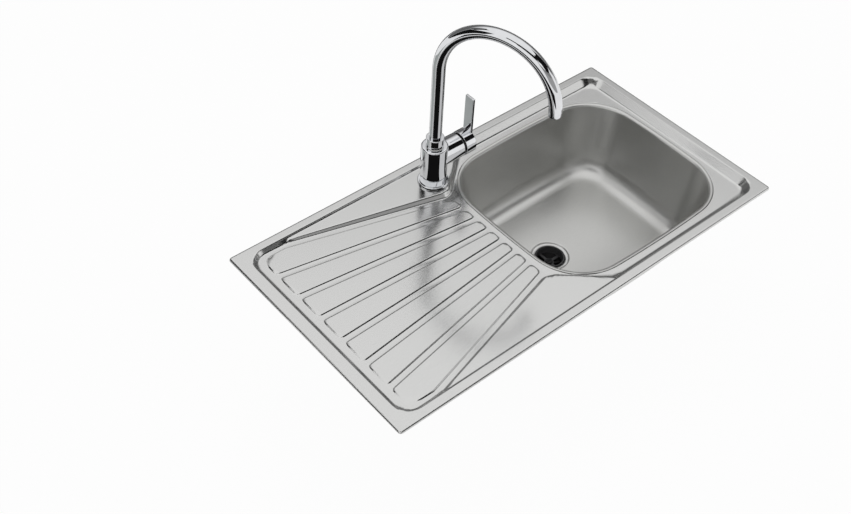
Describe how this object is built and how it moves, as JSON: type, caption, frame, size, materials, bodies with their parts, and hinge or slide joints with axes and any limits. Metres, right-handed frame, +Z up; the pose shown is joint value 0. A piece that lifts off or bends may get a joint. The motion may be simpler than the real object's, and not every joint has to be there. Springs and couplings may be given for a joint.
{
  "type": "kitchen sink with drainboard",
  "caption": "Inset stainless kitchen sink with one bowl, a fan-ribbed drainboard and a side-lever mixer tap with a swivelling arched spout.",
  "frame": {"origin": "centre of the rim outline, on the plane of the worktop", "axes": "+X along the sink from the drainboard to the bowl, +Y to the back, +Z up"},
  "size_m": [0.86, 0.45, 0.604],
  "materials": {
    "satin_stainless": "satin, fine brushed",
    "chrome_plate": "polished chrome plate on brass",
    "galvanised_steel": "zinc plated",
    "blackened_steel": "black oxide",
    "brass": "turned brass",
    "black_rubber": "moulded rubber",
    "grey_foam": "closed-cell foam strip",
    "bitumen": "bitumen mat",
    "black_plastic": "moulded polypropylene",
    "white_plastic": "moulded acetal",
    "grey_plug": "moulded cap",
    "alumina": "lapped ceramic"
  },
  "bodies": {
    "sink": {"deck_pressing": "satin_stainless", "bowl": "satin_stainless", "rim_seal": "grey_foam", "sound_pad": "bitumen", "clip_rails": "galvanised_steel", "strainer": "black_plastic", "waste_flange": "satin_stainless", "flange_seal": "black_rubber", "waste_body": "black_plastic", "body_seal": "black_rubber", "waste_insert": "brass", "waste_screw": "blackened_steel", "base_ring": "chrome_plate", "base_seal": "black_rubber", "tap_body": "chrome_plate", "fixing_stud": "brass", "horseshoe_washer": "black_rubber", "horseshoe_plate": "galvanised_steel", "stud_nut": "brass", "glide_ring": "white_plastic", "spout_screw": "galvanised_steel", "cartridge_base": "white_plastic", "cartridge_housing": "white_plastic", "cartridge_seals": "black_rubber", "fixed_disc": "alumina", "cartridge_nut": "brass", "gap_ring": "black_plastic"},
    "spout": {"spout_stem": "brass", "spout_tube": "chrome_plate", "spout_collar": "chrome_plate", "spout_o_rings": "black_rubber", "aerator_shell": "chrome_plate", "aerator_insert": "white_plastic"},
    "carrier": {"turn_carrier": "white_plastic", "pivot_pin": "galvanised_steel"},
    "disc": {"moving_disc": "alumina"},
    "lever": {"handle": "chrome_plate", "handle_screw": "galvanised_steel", "handle_plug": "grey_plug", "spindle": "brass"}
  },
  "joints": [
    {"name": "spout_swivel", "type": "hinge", "parent": "sink", "child": "spout", "pos_m": [-0.036, 0.165, 0.084], "axis": [0, 0, 1], "continuous": true},
    {"name": "lever_turn", "type": "hinge", "parent": "sink", "child": "carrier", "pos_m": [0.0025, 0.165, 0.0555], "axis": [1, 0, 0], "range_deg": [-50, 50]},
    {"name": "lever_lift", "type": "hinge", "parent": "carrier", "child": "lever", "pos_m": [0.0025, 0.165, 0.0555], "axis": [0, 1, 0], "range_deg": [0, 18]},
    {"name": "disc_slide", "type": "slide", "parent": "carrier", "child": "disc", "axis": [0, 0, 1], "range_m": [-0.0001, 0.0026]}
  ],
  "couplings": [
    {"joint": "disc_slide", "follows": "lever_lift", "m_per_rad": 0.0078}
  ]
}
